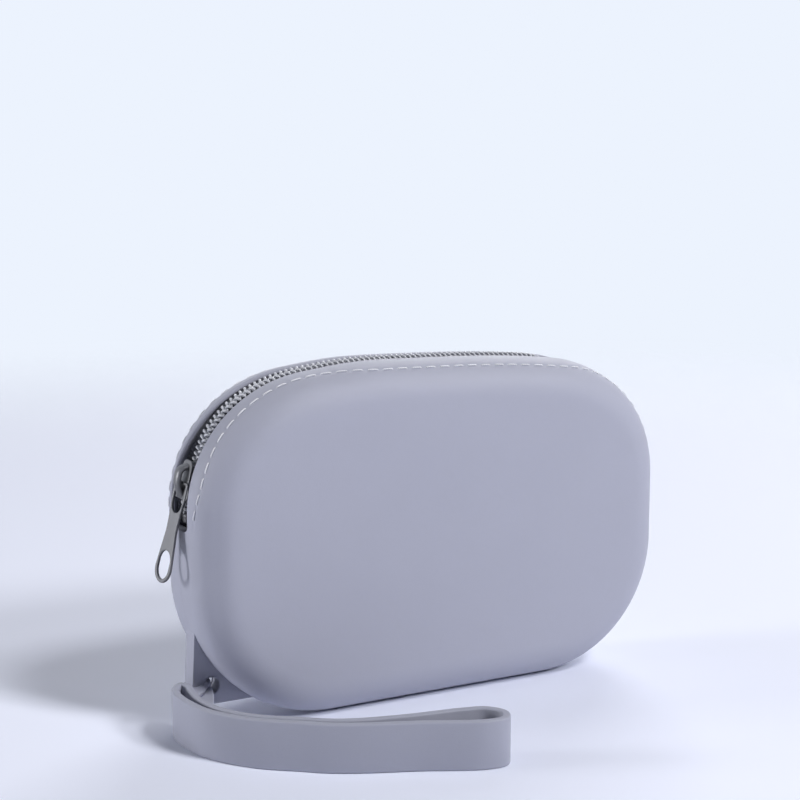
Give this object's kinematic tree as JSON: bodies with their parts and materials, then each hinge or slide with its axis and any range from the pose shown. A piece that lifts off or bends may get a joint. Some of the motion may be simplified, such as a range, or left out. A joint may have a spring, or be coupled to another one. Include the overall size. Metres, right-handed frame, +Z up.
{
  "type": "zip pouch",
  "caption": "Rounded silicone pouch with a coil zip over its top half, a slider with a hanging pull tab, a corner lug and a flat wrist strap loop, for carrying small items.",
  "frame": {"origin": "centre of the flat strip of the base that the pouch stands on", "axes": "+X along the pouch's width towards the zip's far end, +Y towards the rear face, +Z up towards the zip"},
  "size_m": [0.1536, 0.0832, 0.0951],
  "materials": {
    "pouch_silicone": "soft matte moulded silicone",
    "strap_silicone": "soft matte moulded silicone",
    "zip_tape": "fine woven polyester",
    "zip_coil": "satin nylon monofilament",
    "stop_metal": "satin",
    "seam_thread": "twisted polyester thread",
    "slider_metal": "satin grey coated zinc casting"
  },
  "bodies": {
    "pouch": {"pouch_body": "pouch_silicone", "rear_zip_tape": "zip_tape", "rear_coil": "zip_coil", "front_top_stop": "stop_metal", "rear_top_stop": "stop_metal", "bottom_stop": "stop_metal", "rear_seam_thread": "seam_thread"},
    "flap": {"front_flap": "pouch_silicone", "front_zip_tape": "zip_tape", "front_coil": "zip_coil", "front_seam_thread": "seam_thread"},
    "slider": {"slider_body": "slider_metal"},
    "pull": {"pull_tab": "slider_metal"},
    "strap": {"wrist_strap": "strap_silicone"}
  },
  "joints": [
    {"name": "slider_travel", "type": "hinge", "parent": "pouch", "child": "slider", "pos_m": [-0.037, 0, 0.05739], "axis": [0, 1, 0], "range_deg": [-6, 62], "deforming": ["front_coil", "rear_coil", "front_zip_tape", "rear_zip_tape"]},
    {"name": "pull_swing", "type": "hinge", "parent": "slider", "child": "pull", "pos_m": [-0.07276, 0, 0.0657], "axis": [0, 1, 0], "range_deg": [0, 150]},
    {"name": "mouth_open", "type": "hinge", "parent": "pouch", "child": "flap", "pos_m": [0, -0.0165, 0.05299], "axis": [1, 0, 0], "range_deg": [0, 28], "deforming": ["front_coil", "front_zip_tape"]},
    {"name": "strap_swing", "type": "hinge", "parent": "pouch", "child": "strap", "pos_m": [-0.0695, 0, 0.0101], "axis": [0, 0, 1], "range_deg": [-140, 25]}
  ]
}
